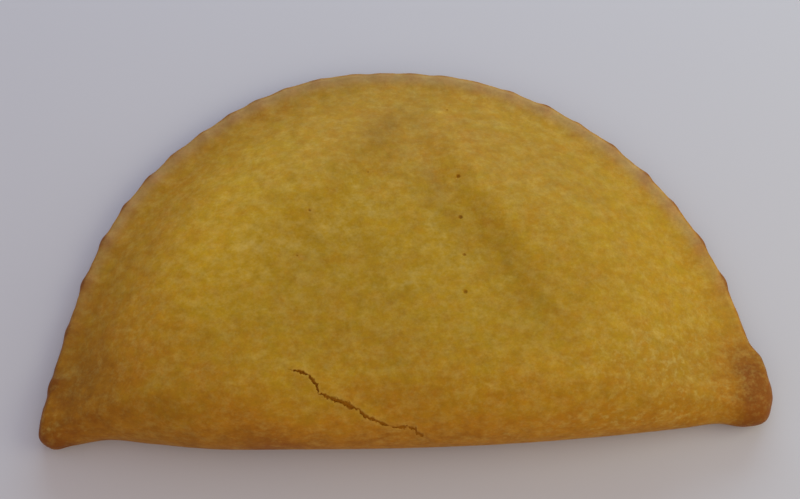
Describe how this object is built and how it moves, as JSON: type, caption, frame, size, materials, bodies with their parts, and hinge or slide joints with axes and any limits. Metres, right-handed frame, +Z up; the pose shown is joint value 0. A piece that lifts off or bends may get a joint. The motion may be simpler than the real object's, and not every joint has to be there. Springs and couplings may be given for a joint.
{
  "type": "jamaican patty",
  "caption": "Baked half-moon pastry patty with a fat folded edge, a crimped round rim, a thin crack near the fold and a few steam holes.",
  "frame": {"origin": "centre of the patty's bounding box in plan, on the table under it", "axes": "+X along the folded edge towards the right corner, +Y from the fold to the top of the crimped arc, +Z up"},
  "size_m": [0.159, 0.0876, 0.0208],
  "materials": {
    "baked_crust": "golden turmeric-yellow shortcrust, browned at the fold, rim and corners, satin with a little oil"
  },
  "bodies": {
    "root": {"patty": "baked_crust"}
  },
  "joints": []
}
